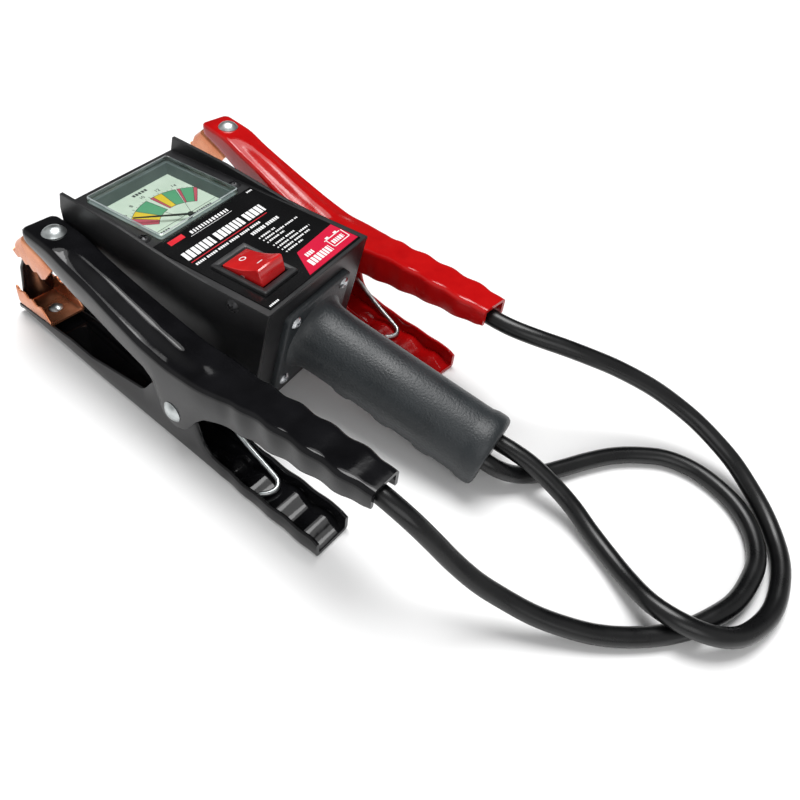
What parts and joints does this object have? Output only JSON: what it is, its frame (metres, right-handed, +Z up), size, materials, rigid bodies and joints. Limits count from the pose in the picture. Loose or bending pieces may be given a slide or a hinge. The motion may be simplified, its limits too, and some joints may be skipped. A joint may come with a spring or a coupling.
{
  "type": "battery tester",
  "caption": "Hand-held analogue battery load tester: box with meter and rocker switch, rear handle, two cables to spring clamps.",
  "frame": {"origin": "centre of the housing's width at table level, half way along the face", "axes": "+Y from the handle towards the meter end, +X towards the red clamp, +Z up out of the face; the tester lies on its back"},
  "size_m": [0.1876, 0.4107, 0.0846],
  "materials": {
    "housing_paint": "fine textured black",
    "dark_screw": "satin black",
    "label_black": "glossy",
    "label_red": "glossy",
    "meter_grey": "satin",
    "dial_paper": "printed white with coloured arc",
    "needle_red": "satin",
    "plain_steel": "plain",
    "brass": "plain",
    "clear_cover": "clear moulded",
    "switch_black": "satin",
    "rocker_red": "translucent red",
    "element_alloy": "heat stained",
    "ceramic_white": "unglazed",
    "copper": "bare copper",
    "cable_rubber": "satin black",
    "handle_plastic": "matte dark grey",
    "bright_screw": "bright",
    "pvc_black": "dipped vinyl over steel",
    "pvc_red": "dipped vinyl over steel",
    "zinc": "zinc plated"
  },
  "bodies": {
    "root": {"front_cover": "housing_paint", "back_cover": "housing_paint", "face_screws": "dark_screw", "side_screws": "dark_screw", "face_label": "label_black", "label_badge": "label_red", "meter_case": "meter_grey", "meter_dial": "dial_paper", "meter_mask": "meter_grey", "meter_movement": "plain_steel", "meter_studs": "brass", "meter_window": "clear_cover", "switch_body": "switch_black", "switch_pin": "plain_steel", "switch_terminals": "brass", "load_element": "element_alloy", "ceramic_posts": "ceramic_white", "bus_bars": "copper", "inner_leads": "cable_rubber", "handle_grip": "handle_plastic", "flange_screws": "bright_screw", "cable_bush": "cable_rubber", "black_cable": "cable_rubber", "red_cable": "cable_rubber", "black_lower_arm": "pvc_black", "black_lower_jaw": "copper", "black_pivot_rivet": "zinc", "black_spring": "zinc", "black_floor_rivet": "zinc", "red_lower_arm": "pvc_red", "red_lower_jaw": "copper", "red_pivot_rivet": "zinc", "red_spring": "zinc", "red_floor_rivet": "zinc"},
    "needle": {"meter_needle": "needle_red"},
    "rocker": {"switch_rocker": "rocker_red"},
    "black_upper": {"black_upper_arm": "pvc_black", "black_upper_jaw": "copper", "black_jaw_rivet": "zinc", "black_cable_crimp": "zinc"},
    "red_upper": {"red_upper_arm": "pvc_red", "red_upper_jaw": "copper", "red_jaw_rivet": "zinc", "red_cable_crimp": "zinc"}
  },
  "joints": [
    {"name": "black_clamp_open", "type": "hinge", "parent": "root", "child": "black_upper", "pos_m": [-0.0613, -0.0384, 0.0255], "axis": [0.993, -0.1184, 0], "range_deg": [0, 18], "stiffness_Nm_per_rad": 4, "springref_deg": -14.32, "deforming": ["black_spring", "black_cable"]},
    {"name": "red_clamp_open", "type": "hinge", "parent": "root", "child": "red_upper", "pos_m": [0.0657, -0.0274, 0.0255], "axis": [0.9781, -0.2079, 0], "range_deg": [0, 18], "stiffness_Nm_per_rad": 4, "springref_deg": -14.32, "deforming": ["red_spring", "red_cable"]},
    {"name": "rocker_press", "type": "hinge", "parent": "root", "child": "rocker", "pos_m": [-0.0179, -0.0404, 0.076], "axis": [1, 0, 0], "range_deg": [0, 20], "stiffness_Nm_per_rad": 0.02, "springref_deg": -20.05},
    {"name": "needle_swing", "type": "hinge", "parent": "root", "child": "needle", "pos_m": [0, 0.0159, 0.072], "axis": [0, 0, -1], "range_deg": [0, 96], "stiffness_Nm_per_rad": 0.00001}
  ]
}
